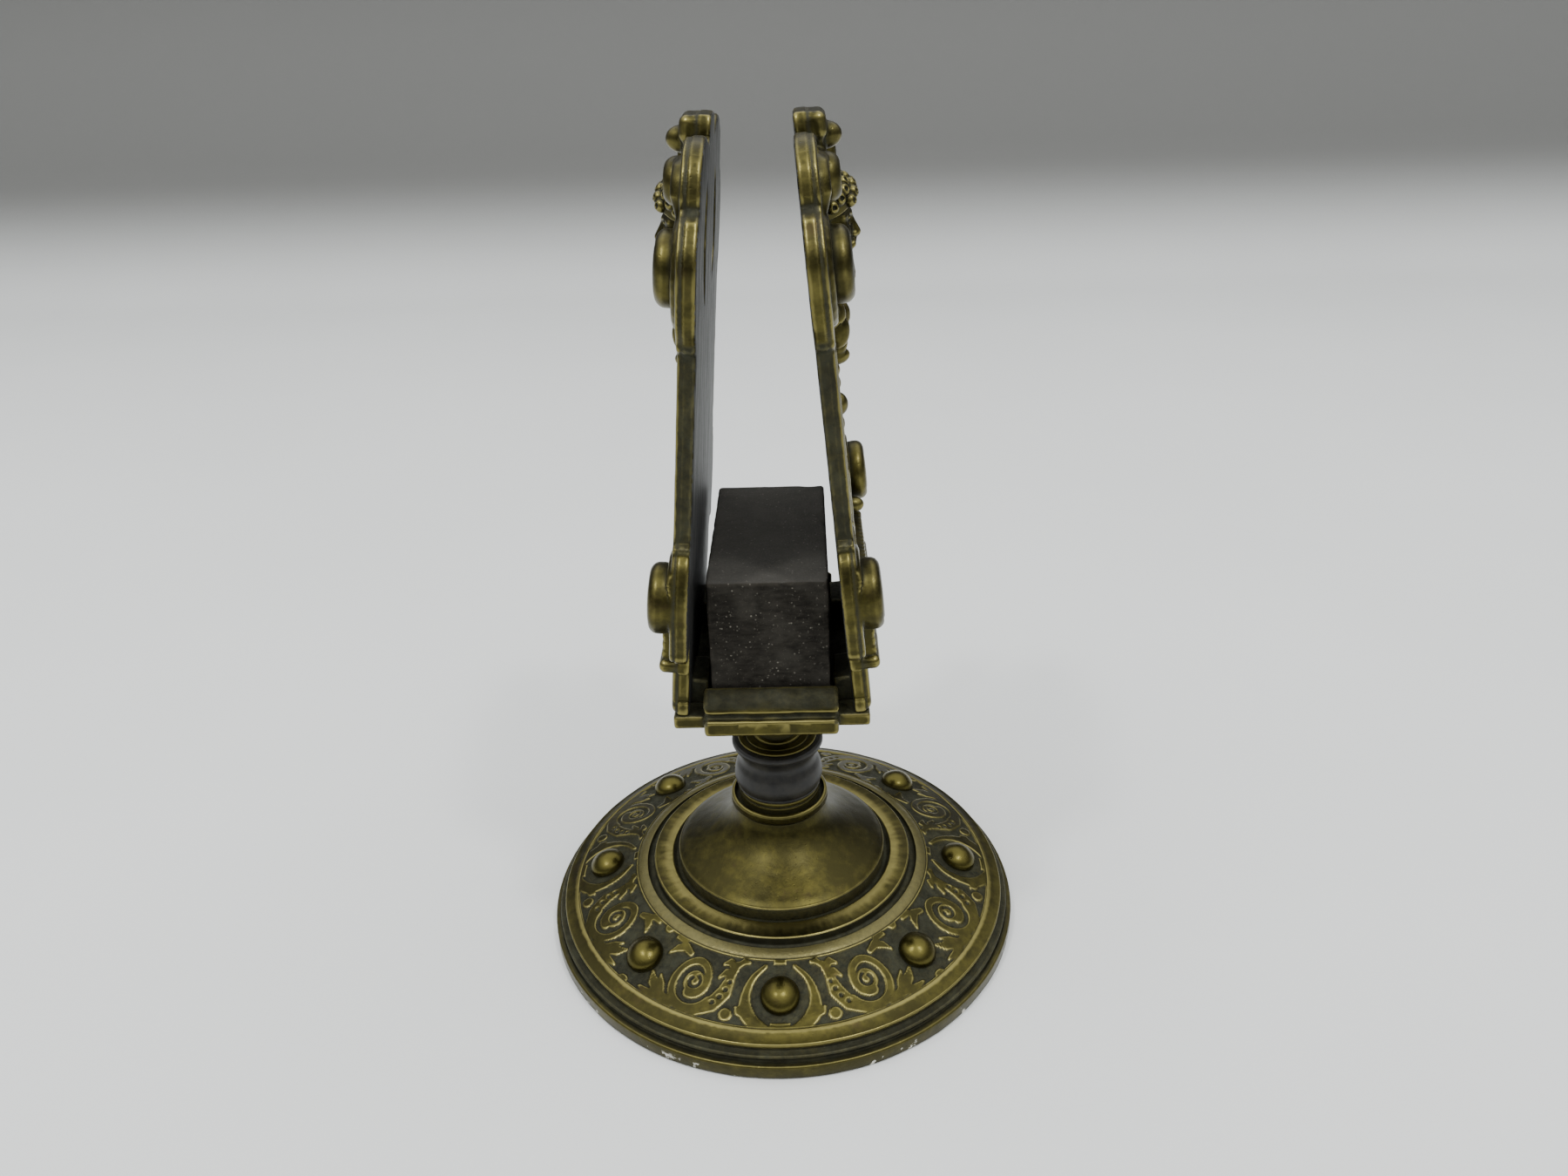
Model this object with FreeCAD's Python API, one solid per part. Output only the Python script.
"""Brass desk stand for blotting paper, in millimetres.

A round domed foot carries a short turned stem. On the stem stands an oblong tray with a
lip at each end, and two ornate cast plates rise from the tray's long sides and lean
towards each other. A loose hardwood block lies in the tray between the plates. One
countersunk tie bolt runs from the tray floor down through the stem to a nut in the foot.

Frame: +Z up, the origin on the table under the centre of the foot. The plates are wide
along Y and face +X and -X. The two lips are at the -Y and +Y ends.
"""
import FreeCAD, Part
import math
import os

from FreeCAD import Matrix, Placement, Rotation, Vector

# ---- driving dimensions ------------------------------------------------------------
FOOT_R = 57.5                 # radius of the plinth, the widest circle of the stand
PLINTH_TOP = 6.0              # height of the seat that the foot disc lies on
PLINTH_BORE_R = 50.5
RIM_R = 54.8                  # crisp outer edge of the foot disc
FRIEZE_OUT = (51.3, 8.7)      # radius and height where the rim band ends
FRIEZE_IN = (36.4, 13.85)     # radius and height where the inner band starts
FRIEZE_DEPTH = 0.45           # how far the ground lies under the bands
STEP_R = 31.9                 # raised ring between the frieze and the bell
BELL_SEAT_Z = 15.2
BELL_R = 25.6
WEB_UNDER_Z = 12.2            # underside of the foot disc's flat middle

STUD_COUNT = 8
STUD_CIRCLE_R = 44.3
STUD_R = 4.4
STUD_HEIGHT = 3.7
STUD_SHANK_R = 1.25
STUD_SEAT = 0.25

CUP_R = 11.75                 # lip of the cup on top of the bell
CUP_FLOOR_Z = 32.6
CUP_RING_TOP = 36.6
BALUSTER_TOP = 49.9
WASHER_TOP = 50.5
TRAY_UNDER_Z = 70.7

BOLT_R = 3.0                  # M6 tie bolt
BOLT_HOLE_R = 3.4
BOLT_HEAD_R = 5.5
BOLT_HEAD_H = 2.5
BOLT_END_Z = 5.0
NUT_FLATS = 10.0
NUT_H = 5.0
FOOT_WASHER_R = 11.0
FOOT_WASHER_T = 1.2

TRAY_HALF_X = 20.6
TRAY_HALF_Y = 27.5
TRAY_FLOOR_T = 3.0
LIP_HALF_X = 14.0
LIP_IN_Y = 25.3
LIP_OUT_Y = 30.6
LIP_H = 8.9                   # from the tray's underside to the top of the lip

PLATE_T = 2.7
PLATE_LEAN = 5.0              # degrees that each plate leans towards the other
PLATE_FOOT_X = 18.6           # middle of the plate's thickness at the tray floor
SCREW_X = 15.6
SCREW_Y = 17.0
SCREW_R = 1.1
SCREW_HEAD_R = 2.2
SCREW_HEAD_H = 1.1
SCREW_TOP_Z = 78.6
LUG_T = 3.6
LUG_H = 6.0
LUG_LEN = 10.0

BLOCK_HALF_X = 12.4
BLOCK_HALF_Y = 24.8
BLOCK_H = 29.9
BLOCK_EDGE = 0.6

# ---- worked out --------------------------------------------------------------------
TRAY_TOP = TRAY_UNDER_Z + TRAY_FLOOR_T
FRIEZE_SLOPE = (FRIEZE_IN[1] - FRIEZE_OUT[1]) / (FRIEZE_OUT[0] - FRIEZE_IN[0])
AXIS = Vector(0, 0, 1)
BIG = 400.0


# ---- small tools -------------------------------------------------------------------
def path(start, steps, to_vector):
    """Closed wire. A step is one point (line), two points (arc) or a longer list (spline)."""
    here = start
    edges = []
    for step in steps:
        points = [to_vector(p) for p in (here, *step)]
        if len(step) == 1:
            edges.append(Part.makeLine(*points))
        elif len(step) == 2:
            edges.append(Part.Arc(*points).toShape())
        else:
            curve = Part.BSplineCurve()
            curve.interpolate(points)
            edges.append(curve.toShape())
        here = step[-1]
    if math.dist(here, start) > 1e-6:
        edges.append(Part.makeLine(to_vector(here), to_vector(start)))
    return Part.Wire(edges)


def turned(start, steps):
    """Solid of revolution about Z from a closed outline of (radius, height) points."""
    wire = path(start, steps, lambda p: Vector(p[0], 0, p[1]))
    return Part.Face(wire).revolve(Vector(0, 0, 0), AXIS, 360)


def slab(start, steps, thickness, base=0.0):
    """Flat piece in the XY plane with a closed outline, as thick as asked."""
    wire = path(start, steps, lambda p: Vector(p[0], p[1], base))
    return Part.Face(wire).extrude(Vector(0, 0, thickness))


def cap(radius, edge_z, apex_z):
    """Arc step from the edge of a shallow spherical cap, or dish, to its apex on the axis."""
    rise = apex_z - edge_z
    sphere_r = (radius ** 2 + rise ** 2) / (2 * abs(rise))
    up = math.copysign(1.0, rise)
    half = 0.5 * math.asin(min(1.0, radius / sphere_r))
    middle = (sphere_r * math.sin(half), apex_z - up * sphere_r * (1 - math.cos(half)))
    return [middle, (0.0, apex_z)]


def rod(radius, low, high, x=0.0, y=0.0):
    return Part.makeCylinder(radius, high - low, Vector(x, y, low))


def ball(centre, radii):
    """Ellipsoid with the given centre and half axes."""
    shape = Part.makeSphere(1.0)
    scale = Matrix()
    scale.scale(*radii)
    shape = shape.transformGeometry(scale)
    shape.translate(Vector(*centre))
    return shape


def mirrored(steps, start):
    """The same outline steps on the other side of the vertical axis, in reverse order."""
    corners = [start] + [step[-1] for step in steps]
    back = []
    for index in range(len(steps) - 1, -1, -1):
        inner = list(reversed(steps[index][:-1]))
        back.append([(-x, y) for x, y in inner + [corners[index]]])
    return back


def fuse_all(shapes):
    return shapes[0].multiFuse(shapes[1:]).removeSplitter()


# ---- foot --------------------------------------------------------------------------
def foot_plinth():
    """Moulded ring that stands on the table: fillet, cove and bead under the rim."""
    return turned(
        (PLINTH_BORE_R + 2.0, 0),
        [
            [(FOOT_R - 0.3, 0)],
            [(FOOT_R, 0.3)],
            [(FOOT_R, 3.1)],
            [(FOOT_R - 0.12, 3.5), (FOOT_R - 0.5, 3.65)],
            [(FOOT_R - 1.2, 3.7)],
            [(FOOT_R - 2.1, 4.0), (FOOT_R - 1.9, 4.6)],
            [(FOOT_R - 1.3, 5.0), (FOOT_R - 1.9, 5.4)],
            [(RIM_R - 0.3, 5.6)],
            [(RIM_R - 0.3, PLINTH_TOP)],
            [(PLINTH_BORE_R, PLINTH_TOP)],
            [(PLINTH_BORE_R, PLINTH_TOP - 2.0)],
        ],
    )


def ground_height(radius):
    """Height of the frieze ground at a radius; it is a plain cone."""
    return FRIEZE_OUT[1] - FRIEZE_DEPTH + FRIEZE_SLOPE * (FRIEZE_OUT[0] - radius)


def foot_disc_body():
    """Domed disc: rim band, sunk frieze, inner band, groove, raised step and bell seat."""
    out_r, out_z = FRIEZE_OUT
    in_r, in_z = FRIEZE_IN
    return turned(
        (49.0, PLINTH_TOP),
        [
            [(RIM_R - 0.4, PLINTH_TOP)],
            [(RIM_R, PLINTH_TOP + 0.4)],
            [(RIM_R, PLINTH_TOP + 1.1)],
            [(RIM_R - 0.1, PLINTH_TOP + 1.35), (RIM_R - 0.4, PLINTH_TOP + 1.45)],
            [(out_r, out_z)],
            [(out_r - 0.1, ground_height(out_r - 0.1))],
            [(in_r + 0.1, ground_height(in_r + 0.1))],
            [(in_r, in_z)],
            [(33.7, 14.6)],
            [(33.0, 13.6), (STEP_R, 13.8)],
            [(STEP_R, 15.5)],
            [(STEP_R - 0.1, 15.85), (STEP_R - 0.5, 15.95)],
            [(27.3, 16.3)],
            [(26.6, BELL_SEAT_Z)],
            [(BOLT_HOLE_R, BELL_SEAT_Z)],
            [(BOLT_HOLE_R, WEB_UNDER_Z)],
            [(30.0, WEB_UNDER_Z)],
            [(36.0, 11.0)],
        ],
    )


def frieze_relief():
    """Raised scrollwork on the sunk ground, one scroll between each two studs."""
    top = BIG / 4
    pieces = []
    for sector in range(STUD_COUNT):
        middle = 360.0 / STUD_COUNT * (sector + 0.5)
        hand = 1 if sector % 2 == 0 else -1
        scroll = scroll_shapes(hand, top)
        for piece in scroll:
            piece.rotate(Vector(0, 0, 0), AXIS, middle)
        pieces += scroll
    for stud in range(STUD_COUNT):
        angle = 360.0 / STUD_COUNT * stud
        field = field_shapes(stud % 2 == 0, top)
        for piece in field:
            piece.rotate(Vector(0, 0, 0), AXIS, angle)
        pieces += field
    return pieces


def arc_strap(centre, radius, width, start_deg, end_deg, height):
    """Flat strap that follows an arc about a centre."""
    def at(distance, degrees):
        turn = math.radians(degrees)
        return (centre[0] + distance * math.cos(turn), centre[1] + distance * math.sin(turn))

    middle = 0.5 * (start_deg + end_deg)
    outer = radius + width / 2
    inner = radius - width / 2
    return slab(
        at(outer, start_deg),
        [
            [at(outer, middle), at(outer, end_deg)],
            [at(inner, end_deg)],
            [at(inner, middle), at(inner, start_deg)],
        ],
        height,
    )


def scroll_shapes(hand, height):
    """One C-shaped scroll with its round eye and its pointed tail; hand is +1 or -1."""
    centre = (STUD_CIRCLE_R - 0.3, -1.2 * hand)
    ring = arc_strap(centre, 5.0, 1.7, 40 * hand, 330 * hand, height)
    eye = rod(2.5, 0, height, centre[0] - 0.4, centre[1])
    bridge = arc_strap((centre[0] + 2.0, centre[1]), 2.2, 1.2, 60 * hand, 170 * hand, height)
    tail = slab(
        (centre[0] + 4.0, centre[1] - 3.0 * hand),
        [
            [(centre[0] + 5.6, centre[1] - 8.0 * hand)],
            [(centre[0] + 2.6, centre[1] - 6.4 * hand)],
        ],
        height,
    )
    return [ring, eye, bridge, tail]


def field_shapes(with_straps, height):
    """Tongues above and below a stud's round field, and a strap on each side of some."""
    tongue_half = 1.3
    shapes = []
    for low, high in ((FRIEZE_IN[0] - 0.2, 38.4), (50.1, FRIEZE_OUT[0] + 0.2)):
        box = Part.makeBox(high - low, 2 * tongue_half, height, Vector(low, -tongue_half, 0))
        shapes.append(box)
    if with_straps:
        centre = (STUD_CIRCLE_R, 0)
        shapes.append(arc_strap(centre, 7.0, 1.1, 45, 135, height))
        shapes.append(arc_strap(centre, 7.0, 1.1, -135, -45, height))
    return shapes


def relief_layer():
    """Thin conical layer that lies on the ground and is as deep as the bands are proud."""
    out_r = FRIEZE_OUT[0] - 0.05
    in_r = FRIEZE_IN[0] + 0.05
    sunk = 0.2
    return turned(
        (out_r, ground_height(out_r) - sunk),
        [
            [(out_r, ground_height(out_r) + FRIEZE_DEPTH)],
            [(in_r, ground_height(in_r) + FRIEZE_DEPTH)],
            [(in_r, ground_height(in_r) - sunk)],
        ],
    )


def stud_frame(index):
    """Placement whose origin is on the ground under a stud and whose Z is square to it."""
    tilt = math.degrees(math.atan(FRIEZE_SLOPE))
    turn = Rotation(AXIS, 360.0 / STUD_COUNT * index)
    lean = Rotation(Vector(0, 1, 0), tilt)
    spot = turn.multVec(Vector(STUD_CIRCLE_R, 0, ground_height(STUD_CIRCLE_R)))
    return Placement(spot, turn.multiply(lean))


def stud_head(index):
    """Dome with a short straight edge, let a little way into the ground."""
    head = turned(
        (0, -STUD_SEAT),
        [
            [(STUD_R, -STUD_SEAT)],
            [(STUD_R, 0.4)],
            cap(STUD_R, 0.4, STUD_HEIGHT),
        ],
    )
    head.Placement = stud_frame(index)
    return head


def stud_shank(index):
    shank = rod(STUD_SHANK_R, -6.0, 0.0)
    shank.Placement = stud_frame(index)
    return shank


def foot_disc():
    body = foot_disc_body()
    layer = relief_layer()
    relief = [piece.common(layer) for piece in frieze_relief()]
    body = fuse_all([body] + relief)
    seats = [stud_head(i) for i in range(STUD_COUNT)] + [stud_shank(i) for i in range(STUD_COUNT)]
    return body.cut(seats)


def foot_studs():
    """Round-headed studs, each riveted through the foot disc and filed off underneath."""
    body = foot_disc_body()
    studs = []
    for index in range(STUD_COUNT):
        shank = stud_shank(index).common(body)
        studs.append(stud_head(index).fuse(shank).removeSplitter())
    return Part.makeCompound(studs)


# ---- stem --------------------------------------------------------------------------
def bell():
    """Hollow turned bell that narrows to a neck and ends in a shallow cup."""
    return turned(
        (23.0, BELL_SEAT_Z),
        [
            [(BELL_R, BELL_SEAT_Z)],
            [(BELL_R, 18.2)],
            [(BELL_R - 0.1, 18.5), (BELL_R - 0.4, 18.7)],
            [(22.0, 20.5), (18.0, 22.6), (14.2, 25.2), (11.7, 28.0), (10.5, 30.8)],
            [(10.8, 31.7)],
            [(11.3, 31.8), (CUP_R, 32.3)],
            [(CUP_R, 33.6)],
            [(CUP_R - 0.25, 34.2), (CUP_R - 0.85, 34.2)],
            [(CUP_R - 0.9, CUP_FLOOR_Z)],
            [(BOLT_HOLE_R, CUP_FLOOR_Z)],
            [(BOLT_HOLE_R, 29.2)],
            [(7.2, 29.0)],
            [(9.4, 26.4), (12.6, 23.2), (17.0, 19.8), (22.6, 17.0)],
        ],
    )


def cup_ring():
    """Plain brass spacer ring that stands in the cup."""
    return turned(
        (BOLT_HOLE_R, CUP_FLOOR_Z),
        [
            [(9.6, CUP_FLOOR_Z)],
            [(9.6, CUP_RING_TOP - 0.5)],
            [(9.45, CUP_RING_TOP - 0.15), (9.1, CUP_RING_TOP)],
            [(BOLT_HOLE_R, CUP_RING_TOP)],
        ],
    )


def baluster():
    """Ebonised turned baluster: bulge, waist and a thin flange."""
    return turned(
        (BOLT_HOLE_R, CUP_RING_TOP),
        [
            [(9.6, CUP_RING_TOP)],
            [(9.95, 37.0), (9.9, 37.5)],
            [(10.1, 37.7)],
            [(10.5, 38.9), (10.55, 40.2), (10.1, 42.4), (9.1, 44.3), (9.0, 45.6), (10.0, 47.8)],
            [(10.7, 48.4)],
            [(10.85, 49.0), (10.7, 49.6)],
            [(10.4, BALUSTER_TOP)],
            [(BOLT_HOLE_R, BALUSTER_TOP)],
        ],
    )


def stem_washer():
    """Thin brass disc between the baluster and the upper neck."""
    return turned(
        (BOLT_HOLE_R, BALUSTER_TOP),
        [
            [(9.2, BALUSTER_TOP)],
            [(9.35, 50.2), (9.2, WASHER_TOP)],
            [(BOLT_HOLE_R, WASHER_TOP)],
        ],
    )


def upper_neck():
    """Turned brass neck with a knop, spreading to a flange under the tray."""
    return turned(
        (BOLT_HOLE_R, WASHER_TOP),
        [
            [(4.6, WASHER_TOP)],
            [(4.6, 53.4)],
            [(5.6, 56.4), (8.3, 59.0), (9.4, 62.0), (8.6, 64.8), (6.9, 66.2)],
            [(6.9, 67.0)],
            [(8.2, 68.9), (12.0, 69.4)],
            [(12.0, TRAY_UNDER_Z)],
            [(BOLT_HOLE_R, TRAY_UNDER_Z)],
        ],
    )


def bolt_head(slack=0.0):
    """Countersunk head, a cone that widens to the top."""
    top = TRAY_TOP - 0.1
    cone = Part.makeCone(BOLT_R, BOLT_HEAD_R, BOLT_HEAD_H, Vector(0, 0, top - BOLT_HEAD_H))
    if slack:
        cone = cone.fuse(rod(BOLT_HEAD_R, top, top + slack))
    return cone


def tie_bolt():
    shank = rod(BOLT_R, BOLT_END_Z, TRAY_TOP - 1.0)
    slot = Part.makeBox(2 * BOLT_HEAD_R, 1.3, 1.1, Vector(-BOLT_HEAD_R, -0.65, TRAY_TOP - 1.2))
    return fuse_all([bolt_head(), shank]).cut(slot)


def foot_washer():
    low = WEB_UNDER_Z - FOOT_WASHER_T
    return rod(FOOT_WASHER_R, low, WEB_UNDER_Z).cut(rod(BOLT_HOLE_R, low, WEB_UNDER_Z))


def tie_nut():
    """Hexagon nut with both faces bevelled at the corners."""
    high = WEB_UNDER_Z - FOOT_WASHER_T
    low = high - NUT_H
    corner_r = NUT_FLATS / math.sqrt(3)
    corners = []
    for index in range(7):
        angle = math.radians(60 * index)
        corners.append(Vector(corner_r * math.cos(angle), corner_r * math.sin(angle), low))
    hexagon = Part.Face(Part.makePolygon(corners)).extrude(Vector(0, 0, NUT_H))
    bevel = turned(
        (0, low),
        [
            [(NUT_FLATS / 2, low)],
            [(corner_r, low + 0.5)],
            [(corner_r, high - 0.5)],
            [(NUT_FLATS / 2, high)],
            [(0, high)],
        ],
    )
    return hexagon.common(bevel).cut(rod(BOLT_R, low, high))


# ---- tray --------------------------------------------------------------------------
def lip():
    """End lip at -Y: sloping top, a quirk, and a plain fillet below."""
    top = TRAY_UNDER_Z + LIP_H
    outline = path(
        (LIP_IN_Y, TRAY_UNDER_Z),
        [
            [(LIP_IN_Y, top - 0.3)],
            [(LIP_IN_Y + 0.2, top - 0.05), (LIP_IN_Y + 0.6, top)],
            [(LIP_IN_Y + 2.9, top - 1.3), (LIP_OUT_Y - 0.9, top - 3.9)],
            [(LIP_OUT_Y - 1.3, top - 4.6), (LIP_OUT_Y - 0.9, top - 5.2)],
            [(LIP_OUT_Y - 0.2, top - 5.3)],
            [(LIP_OUT_Y, top - 5.5)],
            [(LIP_OUT_Y, TRAY_UNDER_Z + 0.5)],
            [(LIP_OUT_Y - 0.15, TRAY_UNDER_Z + 0.15), (LIP_OUT_Y - 0.5, TRAY_UNDER_Z)],
        ],
        lambda p: Vector(-LIP_HALF_X, -p[0], p[1]),
    )
    return Part.Face(outline).extrude(Vector(2 * LIP_HALF_X, 0, 0))


def screw_spots():
    return [(x, y) for x in (-SCREW_X, SCREW_X) for y in (-SCREW_Y, SCREW_Y)]


def screw_head(x, y):
    base = Vector(x, y, TRAY_UNDER_Z)
    return Part.makeCone(SCREW_HEAD_R, SCREW_R, SCREW_HEAD_H, base)


def tray():
    floor = Part.makeBox(
        2 * TRAY_HALF_X, 2 * TRAY_HALF_Y, TRAY_FLOOR_T,
        Vector(-TRAY_HALF_X, -TRAY_HALF_Y, TRAY_UNDER_Z),
    )
    rims = [e for e in floor.Edges if e.BoundBox.ZLength < 0.1 or e.BoundBox.ZLength > 2.9]
    floor = floor.makeFillet(0.5, rims)
    near = lip()
    far = near.mirror(Vector(0, 0, 0), Vector(0, 1, 0))
    body = fuse_all([floor, near, far])
    cuts = [rod(BOLT_R, TRAY_UNDER_Z, TRAY_TOP), bolt_head(slack=1.0)]
    for x, y in screw_spots():
        cuts.append(rod(SCREW_R, TRAY_UNDER_Z, TRAY_TOP, x, y))
        cuts.append(screw_head(x, y))
    return body.cut(Part.makeCompound(cuts))


def plate_screws():
    """Countersunk screws driven up through the tray floor into the plates' lugs."""
    screws = []
    for x, y in screw_spots():
        shank = rod(SCREW_R, TRAY_UNDER_Z, SCREW_TOP_Z, x, y)
        slot = Part.makeBox(
            2 * SCREW_HEAD_R, 0.6, 0.5, Vector(x - SCREW_HEAD_R, y - 0.3, TRAY_UNDER_Z)
        )
        screws.append(fuse_all([screw_head(x, y), shank]).cut(slot))
    return Part.makeCompound(screws)


# ---- side plates -------------------------------------------------------------------
# A plate is drawn flat: x runs along its width, y up its height from the tray floor,
# and z is its thickness with the ornament on the +z face. It is then stood up.
PLATE_TOP = 115.4
LEDGE = (11.0, 13.4)          # low and high edge of the ledge under the tablet
TABLET_TOP = 22.0
TABLET_HALF = 27.0
TABLET_PROUD = 3.1
EAR_BOSS = (31.5, 30.4)
EAR_BOSS_R = 7.0
EAR_BOSS_PROUD = 5.2
VOLUTE = (23.0, 91.6)
VOLUTE_R = 6.6
VOLUTE_PROUD = 4.9
CURL = (14.0, 105.6)
CURL_R = 3.3
CURL_PROUD = 3.9
HEAD = (0.0, 93.5)


def plate_outline():
    """Right half of the cartouche outline, from the foot's middle to the top's middle."""
    foot = [[(27.0, 0)], [(27.0, 3.0)], [(26.5, 3.5)], [(26.5, LEDGE[0])]]
    ledge = [[(28.4, LEDGE[0])], [(28.4, LEDGE[1])], [(28.0, 15.0)]]
    ear = [
        [(28.9, 18.3), (31.4, 19.7), (33.8, 18.4)],
        [(35.8, 18.2), (37.0, 20.4)],
        [(38.1, 26.0), (38.3, 32.0), (36.4, 38.4), (34.3, 41.0)],
        [(34.3, 42.2)],
        [(32.7, 42.9)],
    ]
    side = [[(31.4, 60.0), (30.7, 78.2)], [(31.9, 79.2)], [(31.9, 80.3)]]
    big_scroll = [[(34.0, 84.0), (35.2, 90.0), (34.6, 96.0), (31.0, 101.2)], [(29.0, 102.0)]]
    shoulder = [
        [(28.3, 102.9)],
        [(28.2, 105.4), (26.4, 109.2), (22.4, 112.2), (17.0, 113.2), (11.4, 111.8), (8.0, 110.6)],
    ]
    finial = [[(5.6, 111.6)], [(5.3, 114.0), (4.0, PLATE_TOP - 0.2)], [(0.0, PLATE_TOP)]]
    return foot + ledge + ear + side + big_scroll + shoulder + finial


def plate_blank():
    half = plate_outline()
    start = (0.0, 0.0)
    steps = half + mirrored(half, start)
    return slab(start, steps, PLATE_T, -PLATE_T / 2)


def piercing(side):
    """Crescent opening beside the head."""
    return slab(
        (side * 10.2, 82.0),
        [
            [(side * 17.2, 93.5), (side * 10.6, 105.0)],
            [(side * 10.9, 93.5), (side * 10.2, 82.0)],
        ],
        4 * PLATE_T, -2 * PLATE_T,
    )


def drum(x, y, radius, proud):
    """Round boss with a rolled edge and a dished eye, standing on the plate's face."""
    top = PLATE_T / 2 + proud
    edge = 0.24 * radius
    shape = turned(
        (0, -PLATE_T / 2),
        [
            [(radius, -PLATE_T / 2)],
            [(radius, top - edge)],
            [(radius - 0.3 * edge, top - 0.3 * edge), (radius - edge, top)],
            [(0.55 * radius, top)],
            cap(0.55 * radius, top, top - 0.45),
        ],
    )
    shape.translate(Vector(x, y, 0))
    return shape


def head_shapes():
    """Plain egg-shaped head with a cap of hair and a beard, without features."""
    x, y = HEAD
    face = ball((x, y, 2.0), (7.0, 9.5, 6.6))
    hair = ball((x, y + 7.0, 2.2), (8.2, 5.4, 7.6))
    beard = ball((x, y - 8.0, 1.8), (5.2, 5.6, 5.0))
    return [face, hair, beard]


def pendant_shapes():
    """Husk under the head, two beads down the middle, and a bead under the finial."""
    return [
        ball((0, 75.0, 1.6), (4.4, 5.4, 4.4)),
        ball((0, 68.4, 1.6), (1.9, 2.0, 3.4)),
        ball((0, 58.2, 1.2), (2.2, 2.6, 2.5)),
        ball((0, 110.3, 3.6), (2.5, 2.5, 3.3)),
    ]


def frame_bars():
    """Raised straps that border the plain field in the lower half of the plate."""
    proud = PLATE_T / 2 + 0.7
    bars = []
    for side in (-1, 1):
        corners = ((27.0, 46.0), (29.2, 46.0), (27.9, 78.0), (25.7, 78.0))
        start, *rest = [(side * x, y) for x, y in corners]
        bars.append(slab(start, [[p] for p in rest], proud))
    bars.append(Part.makeBox(54.4, 2.2, proud, Vector(-27.2, 46.0, 0)))
    return bars


def plate_foot_shapes():
    """Foot moulding, ledge and tablet across the bottom, and the two lugs behind."""
    back = -PLATE_T / 2
    front = PLATE_T / 2
    foot = Part.makeBox(54.0, 3.2, PLATE_T + 1.0, Vector(-27.0, 0, back))
    ledge_depth = PLATE_T + TABLET_PROUD + 0.5
    ledge = Part.makeBox(56.8, LEDGE[1] - LEDGE[0], ledge_depth, Vector(-28.4, LEDGE[0], back))
    ledge = ledge.makeFillet(0.8, [e for e in ledge.Edges if e.BoundBox.ZMin > front])
    tablet = Part.makeBox(
        2 * TABLET_HALF, TABLET_TOP - LEDGE[1] + 1.0, TABLET_PROUD + front,
        Vector(-TABLET_HALF, LEDGE[1] - 1.0, 0),
    )
    tablet = tablet.makeFillet(0.9, [e for e in tablet.Edges if e.BoundBox.ZMin > front])
    lugs = []
    for side in (-1, 1):
        low = side * SCREW_Y - LUG_LEN / 2
        lugs.append(Part.makeBox(LUG_LEN, LUG_H + 1, LUG_T, Vector(low, -1, back - LUG_T)))
    return [foot, ledge, tablet] + lugs


def flat_plate():
    blank = plate_blank()
    shapes = [blank] + head_shapes() + pendant_shapes() + frame_bars() + plate_foot_shapes()
    for side in (-1, 1):
        shapes.append(drum(side * EAR_BOSS[0], EAR_BOSS[1], EAR_BOSS_R, EAR_BOSS_PROUD))
        shapes.append(drum(side * VOLUTE[0], VOLUTE[1], VOLUTE_R, VOLUTE_PROUD))
        shapes.append(drum(side * CURL[0], CURL[1], CURL_R, CURL_PROUD))
    plate = fuse_all(shapes)
    behind = Part.makeBox(BIG, BIG, BIG, Vector(-BIG / 2, LUG_H, -PLATE_T / 2 - BIG))
    openings = [piercing(-1), piercing(1), behind]
    return plate.cut(Part.makeCompound(openings))


def plate_frame():
    """Stands the flat plate up on the tray's +X side, leaning towards the middle."""
    lean = math.radians(PLATE_LEAN)
    width = Vector(0, 1, 0)
    height = Vector(-math.sin(lean), 0, math.cos(lean))
    outward = Vector(math.cos(lean), 0, math.sin(lean))
    turn = Rotation(width, height, outward, "XYZ")
    return Placement(Vector(PLATE_FOOT_X, 0, TRAY_TOP), turn)


def side_plate_right():
    plate = flat_plate()
    plate.Placement = plate_frame()
    under = Part.makeBox(BIG, BIG, BIG, Vector(-BIG / 2, -BIG / 2, TRAY_TOP - BIG))
    holes = [rod(SCREW_R, TRAY_TOP, SCREW_TOP_Z, SCREW_X, y) for y in (-SCREW_Y, SCREW_Y)]
    return plate.cut(Part.makeCompound([under] + holes))


# ---- block -------------------------------------------------------------------------
def block():
    """Loose hardwood block with eased edges."""
    solid = Part.makeBox(
        2 * BLOCK_HALF_X, 2 * BLOCK_HALF_Y, BLOCK_H, Vector(-BLOCK_HALF_X, -BLOCK_HALF_Y, TRAY_TOP)
    )
    return solid.makeChamfer(BLOCK_EDGE, solid.Edges)


def save(name, shape):
    if not shape.isValid():
        print("invalid:", name)
    shape.exportStep("parts/" + name + ".step")
    print(name, len(shape.Solids), round(shape.Volume, 1))


def main():
    os.makedirs("parts", exist_ok=True)
    right = side_plate_right()
    pieces = {
        "foot_plinth": foot_plinth(),
        "foot_disc": foot_disc(),
        "foot_studs": foot_studs(),
        "bell": bell(),
        "cup_ring": cup_ring(),
        "baluster": baluster(),
        "stem_washer": stem_washer(),
        "upper_neck": upper_neck(),
        "tie_bolt": tie_bolt(),
        "foot_washer": foot_washer(),
        "tie_nut": tie_nut(),
        "tray": tray(),
        "plate_screws": plate_screws(),
        "side_plate_right": right,
        "side_plate_left": right.mirror(Vector(0, 0, 0), Vector(1, 0, 0)),
        "block": block(),
    }
    for name, shape in pieces.items():
        save(name, shape)


main()
